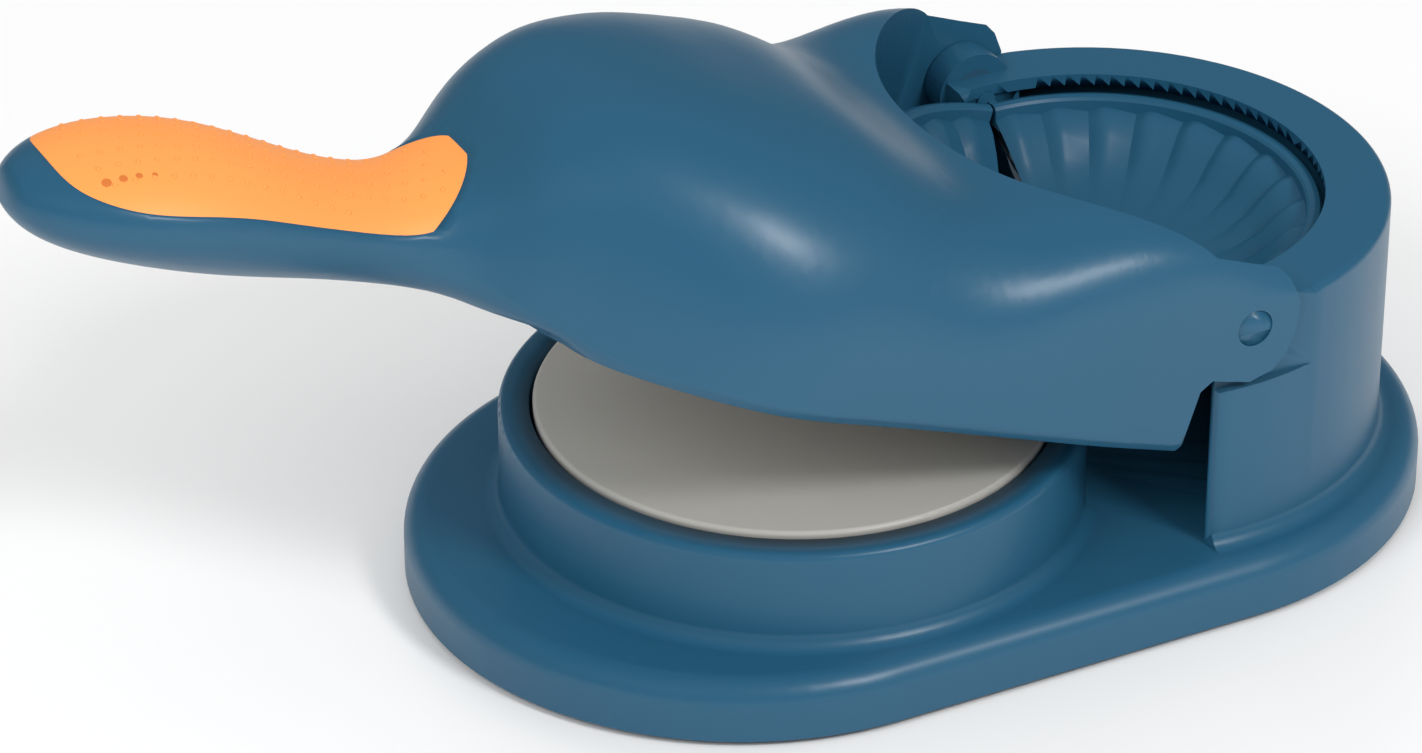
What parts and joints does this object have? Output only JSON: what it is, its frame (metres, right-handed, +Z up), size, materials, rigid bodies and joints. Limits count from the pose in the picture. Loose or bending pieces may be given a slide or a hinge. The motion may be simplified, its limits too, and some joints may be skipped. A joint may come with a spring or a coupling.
{
  "type": "dumpling maker",
  "caption": "Hand dumpling maker: oblong base with a dough plate in a round cup and a mould in a hollow tower, and a hinged press arm with a soft grip.",
  "frame": {"origin": "centre of the bounding box at the bottom of the feet, arm standing part-open", "axes": "+Z up, handle towards -X, tower towards +X, hinge axis along Y"},
  "size_m": [0.3026, 0.136, 0.1307],
  "materials": {
    "blue_shell": "satin moulded plastic",
    "blue_inner": "matt moulded plastic",
    "orange_grip": "soft overmoulded rubber, dotted",
    "cream_plastic": "smooth satin plastic",
    "black_rubber": "soft rubber",
    "steel": "zinc plated screw",
    "acetal": "low friction plastic"
  },
  "bodies": {
    "base": {"base_shell": "blue_shell", "bottom_cover": "blue_inner", "bottom_cover_screws": "steel", "rubber_feet": "black_rubber", "dough_plate": "cream_plastic", "hinge_bush_near": "acetal", "hinge_bush_far": "acetal"},
    "press_arm": {"arm_shell": "blue_shell", "arm_under_cover": "blue_inner", "arm_cover_screws": "steel", "grip_inlay": "orange_grip", "press_disc": "cream_plastic", "press_disc_screws": "steel", "mould_carrier": "blue_inner", "carrier_screws": "steel", "front_mould_half": "blue_shell", "hinge_pin_near": "blue_shell", "hinge_pin_far": "blue_shell"},
    "rear_mould": {"rear_mould_half": "blue_shell"}
  },
  "joints": [
    {"name": "arm_hinge", "type": "hinge", "parent": "base", "child": "press_arm", "pos_m": [0.08332, 0, 0.0635], "axis": [0, 1, 0], "range_deg": [-19, 105]},
    {"name": "rear_mould_hinge", "type": "hinge", "parent": "base", "child": "rear_mould", "pos_m": [0.08332, 0, 0.0635], "axis": [0, -1, 0], "range_deg": [0, 35]}
  ]
}
